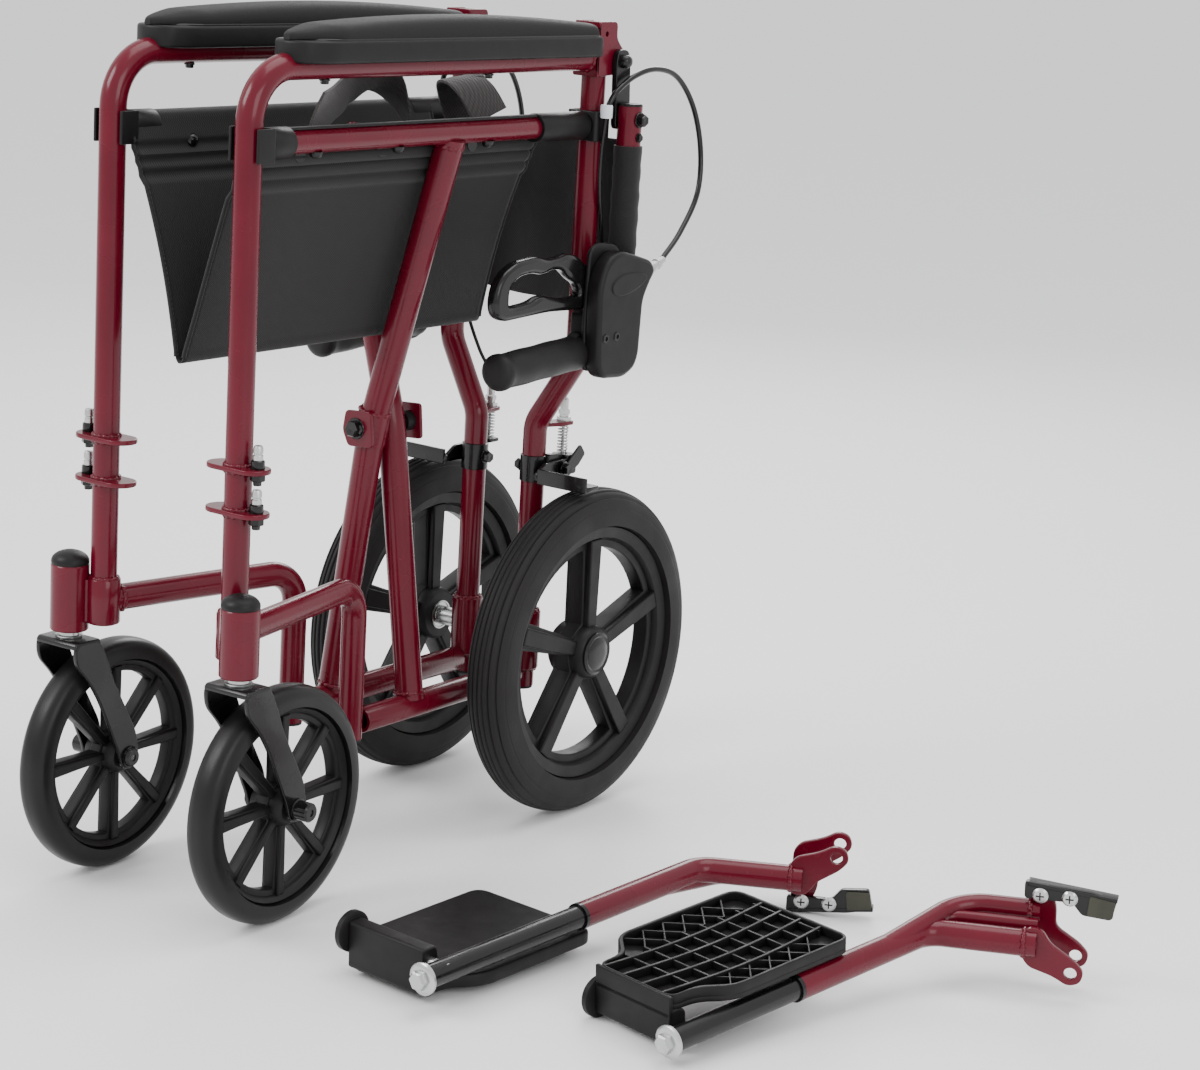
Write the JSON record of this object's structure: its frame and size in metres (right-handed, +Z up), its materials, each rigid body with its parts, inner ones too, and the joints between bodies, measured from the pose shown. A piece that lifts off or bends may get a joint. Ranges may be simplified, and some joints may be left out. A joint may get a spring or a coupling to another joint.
{
  "type": "folded transport wheelchair",
  "caption": "Transport wheelchair with folded cross brace and fold-down back, hand and wheel brakes, swivelling front castors, and two detached swing-away legrests on the floor.",
  "frame": {"origin": "middle of the floor rectangle that the chair and its two legrests cover", "axes": "+X the sitter's left, where the legrests lie; -Y the front, with the castors; +Z up"},
  "size_m": [0.8264, 0.676, 0.743],
  "materials": {
    "crimson_tube": "deep crimson gloss powder coat",
    "arm_foam": "black foam",
    "black_plastic": "grained black plastic",
    "tyre": "solid black tyre",
    "zinc": "bright zinc",
    "black_steel": "black coated steel",
    "black_fabric": "black woven nylon",
    "grip_rubber": "soft black grip rubber",
    "smooth_plastic": "smooth black plastic",
    "black_tube": "black powder coat"
  },
  "bodies": {
    "frame_left": {"front_upright_left": "crimson_tube", "lower_front_tube_left": "crimson_tube", "rear_post_left": "crimson_tube", "hinge_bracket_left": "crimson_tube", "armrest_base_left": "black_plastic", "armrest_pad_left": "arm_foam", "rear_axle_left": "zinc"},
    "frame_right": {"front_upright_right": "crimson_tube", "lower_front_tube_right": "crimson_tube", "rear_post_right": "crimson_tube", "hinge_bracket_right": "crimson_tube", "armrest_base_right": "black_plastic", "armrest_pad_right": "arm_foam", "rear_axle_right": "zinc"},
    "brace_rear": {"cross_brace_left": "crimson_tube", "seat_rail_right": "crimson_tube"},
    "brace_front": {"cross_brace_right": "crimson_tube", "seat_rail_left": "crimson_tube", "brace_pivot": "crimson_tube"},
    "rail_guides_left": {"rail_guide_front_left": "black_plastic", "rail_guide_rear_left": "black_plastic"},
    "sling_left": {"seat_sling_left": "black_fabric"},
    "sling_inner_left": {"seat_sling_inner_left": "black_fabric"},
    "lever_left": {"brake_lever_left": "smooth_plastic"},
    "wheel_brake_left": {"brake_arm_left": "black_steel"},
    "rear_wheel_left": {"rear_tyre_left": "tyre", "rear_wheel_left": "black_plastic"},
    "castor_left": {"castor_fork_left": "black_steel"},
    "castor_wheel_left": {"castor_tyre_left": "tyre", "castor_wheel_left": "black_plastic"},
    "legrest_left": {"legrest_hanger_left": "crimson_tube"},
    "latch_left": {"legrest_latch_left": "black_steel"},
    "extension_left": {"legrest_extension_left": "black_tube"},
    "footplate_left": {"footplate_left": "black_plastic"},
    "rail_guides_right": {"rail_guide_front_right": "black_plastic", "rail_guide_rear_right": "black_plastic"},
    "sling_right": {"seat_sling_right": "black_fabric"},
    "sling_inner_right": {"seat_sling_inner_right": "black_fabric"},
    "lever_right": {"brake_lever_right": "smooth_plastic"},
    "wheel_brake_right": {"brake_arm_right": "black_steel"},
    "rear_wheel_right": {"rear_tyre_right": "tyre", "rear_wheel_right": "black_plastic"},
    "castor_right": {"castor_fork_right": "black_steel"},
    "castor_wheel_right": {"castor_tyre_right": "tyre", "castor_wheel_right": "black_plastic"},
    "legrest_right": {"legrest_hanger_right": "crimson_tube"},
    "latch_right": {"legrest_latch_right": "black_steel"},
    "extension_right": {"legrest_extension_right": "black_tube"},
    "footplate_right": {"footplate_right": "black_plastic"},
    "cane_left": {"back_cane_left": "crimson_tube", "push_grip_left": "grip_rubber", "brake_housing_left": "black_plastic", "back_panel_left": "black_fabric", "brake_cable_left": "smooth_plastic"},
    "cane_right": {"back_cane_right": "crimson_tube", "push_grip_right": "grip_rubber", "brake_housing_right": "black_plastic", "brake_cable_right": "smooth_plastic"},
    "back_web_right": {"back_panel_right": "black_fabric"}
  },
  "joints": [
    {"name": "fold", "type": "hinge", "parent": "frame_left", "child": "brace_rear", "pos_m": [-0.24718, 0.00707, 0.123], "axis": [0, -1, 0], "range_deg": [0, 40]},
    {"name": "brace_cross", "type": "hinge", "parent": "brace_rear", "child": "brace_front", "pos_m": [-0.28219, -0.00693, 0.378], "axis": [0, 1, 0], "range_deg": [0, 80.2]},
    {"name": "right_frame", "type": "hinge", "parent": "brace_front", "child": "frame_right", "pos_m": [-0.31718, -0.01993, 0.123], "axis": [0, -1, 0], "range_deg": [0, 40.1]},
    {"name": "guides_right_turn", "type": "hinge", "parent": "brace_rear", "child": "rail_guides_right", "pos_m": [-0.35668, -0.12293, 0.645], "axis": [0, 1, 0], "range_deg": [0, 40.1]},
    {"name": "guides_left_turn", "type": "hinge", "parent": "brace_front", "child": "rail_guides_left", "pos_m": [-0.20769, -0.12293, 0.645], "axis": [0, -1, 0], "range_deg": [0, 40.1]},
    {"name": "sling_left_turn", "type": "hinge", "parent": "brace_front", "child": "sling_left", "pos_m": [-0.20769, -0.07293, 0.645], "axis": [0, 1, 0], "range_deg": [0, 28.1]},
    {"name": "sling_right_turn", "type": "hinge", "parent": "brace_rear", "child": "sling_right", "pos_m": [-0.35668, -0.07293, 0.645], "axis": [0, -1, 0], "range_deg": [0, 28.1]},
    {"name": "sling_left_draw", "type": "slide", "parent": "sling_left", "child": "sling_inner_left", "axis": [-0.2688, 0, -0.9632], "range_m": [0, 0.0302]},
    {"name": "sling_right_draw", "type": "slide", "parent": "sling_right", "child": "sling_inner_right", "axis": [0.2688, 0, -0.9632], "range_m": [0, 0.0302]},
    {"name": "back_fold", "type": "hinge", "parent": "frame_left", "child": "cane_left", "pos_m": [-0.20769, 0.19807, 0.703], "axis": [1, 0, 0], "range_deg": [0, 180], "deforming": ["brake_cable_left"]},
    {"name": "back_fold_right", "type": "hinge", "parent": "frame_right", "child": "cane_right", "pos_m": [-0.35668, 0.19807, 0.703], "axis": [1, 0, 0], "range_deg": [0, 180.2], "deforming": ["brake_cable_right"]},
    {"name": "back_web_draw", "type": "slide", "parent": "cane_left", "child": "back_web_right", "axis": [-1, 0, 0], "range_m": [0, 0.31194]},
    {"name": "lever_left_squeeze", "type": "hinge", "parent": "cane_left", "child": "lever_left", "pos_m": [-0.17819, 0.16807, 0.508], "axis": [1, 0, 0], "range_deg": [0, 10], "stiffness_Nm_per_rad": 1.5, "springref_deg": -8.59},
    {"name": "brake_left_press", "type": "hinge", "parent": "frame_left", "child": "wheel_brake_left", "pos_m": [-0.22818, 0.19307, 0.321], "axis": [1, 0, 0], "range_deg": [0, 8.2]},
    {"name": "rear_wheel_left_spin", "type": "hinge", "parent": "frame_left", "child": "rear_wheel_left", "pos_m": [-0.18788, 0.18297, 0.155], "axis": [1, 0, 0], "continuous": true},
    {"name": "castor_left_swivel", "type": "hinge", "parent": "frame_left", "child": "castor_left", "pos_m": [-0.18518, -0.28843, 0.222], "axis": [0, 0, 1], "range_deg": [-25, 205]},
    {"name": "castor_wheel_left_spin", "type": "hinge", "parent": "castor_left", "child": "castor_wheel_left", "pos_m": [-0.18796, -0.2355, 0.1016], "axis": [0.9986, 0.0523, 0], "continuous": true},
    {"name": "legrest_left_lift", "type": "slide", "parent": "frame_left", "child": "legrest_left", "axis": [0, 0, 1], "range_m": [0, 0.3]},
    {"name": "latch_left_turn", "type": "hinge", "parent": "legrest_left", "child": "latch_left", "pos_m": [0.35398, 0.09178, 0.07934], "axis": [0.3442, -0.9364, -0.0687], "range_deg": [0, 18], "stiffness_Nm_per_rad": 0.3, "springref_deg": -11.46},
    {"name": "extension_left_slide", "type": "slide", "parent": "legrest_left", "child": "extension_left", "axis": [-0.1885, -0.9788, -0.0802], "range_m": [-0.014, 0.03]},
    {"name": "footplate_left_flip", "type": "hinge", "parent": "extension_left", "child": "footplate_left", "pos_m": [0.18192, -0.22062, 0.01692], "axis": [0.982, -0.1891, 0], "range_deg": [0, 90]},
    {"name": "lever_right_squeeze", "type": "hinge", "parent": "cane_right", "child": "lever_right", "pos_m": [-0.38619, 0.16807, 0.508], "axis": [1, 0, 0], "range_deg": [0, 10], "stiffness_Nm_per_rad": 1.5, "springref_deg": -8.59},
    {"name": "brake_right_press", "type": "hinge", "parent": "frame_right", "child": "wheel_brake_right", "pos_m": [-0.33619, 0.19307, 0.321], "axis": [1, 0, 0], "range_deg": [0, 8.2]},
    {"name": "rear_wheel_right_spin", "type": "hinge", "parent": "frame_right", "child": "rear_wheel_right", "pos_m": [-0.37649, 0.18297, 0.155], "axis": [1, 0, 0], "continuous": true},
    {"name": "castor_right_swivel", "type": "hinge", "parent": "frame_right", "child": "castor_right", "pos_m": [-0.37918, -0.28843, 0.222], "axis": [0, 0, 1], "continuous": true},
    {"name": "castor_wheel_right_spin", "type": "hinge", "parent": "castor_right", "child": "castor_wheel_right", "pos_m": [-0.38196, -0.2355, 0.1016], "axis": [-0.9986, -0.0523, 0], "continuous": true},
    {"name": "legrest_right_lift", "type": "slide", "parent": "frame_left", "child": "legrest_right", "axis": [0, 0, 1], "range_m": [0, 0.3]},
    {"name": "latch_right_turn", "type": "hinge", "parent": "legrest_right", "child": "latch_right", "pos_m": [0.12583, 0.09802, 0.01125], "axis": [-0.4462, 0.8946, 0.0239], "range_deg": [0, 18], "stiffness_Nm_per_rad": 0.3, "springref_deg": -11.46},
    {"name": "extension_right_slide", "type": "slide", "parent": "legrest_right", "child": "extension_right", "axis": [-0.0784, -0.9965, -0.0279], "range_m": [-0.014, 0.03]},
    {"name": "footplate_right_flip", "type": "hinge", "parent": "extension_right", "child": "footplate_right", "pos_m": [-0.01431, -0.28219, 0.03537], "axis": [-0.9969, 0.0785, 0], "range_deg": [0, 90]}
  ],
  "couplings": [
    {"joint": "brace_cross", "follows": "fold", "ratio": 2},
    {"joint": "right_frame", "follows": "fold", "ratio": 1},
    {"joint": "guides_right_turn", "follows": "fold", "ratio": 1},
    {"joint": "guides_left_turn", "follows": "fold", "ratio": 1},
    {"joint": "sling_left_turn", "follows": "fold", "ratio": 0.7},
    {"joint": "sling_right_turn", "follows": "fold", "ratio": 0.7},
    {"joint": "sling_left_draw", "follows": "fold", "m_per_rad": 0.042972},
    {"joint": "sling_right_draw", "follows": "fold", "m_per_rad": 0.042972},
    {"joint": "back_fold_right", "follows": "back_fold", "ratio": 1},
    {"joint": "back_web_draw", "follows": "fold", "m_per_rad": 0.44611},
    {"joint": "brake_left_press", "follows": "lever_left_squeeze", "ratio": 0.8},
    {"joint": "brake_right_press", "follows": "lever_right_squeeze", "ratio": 0.8}
  ]
}
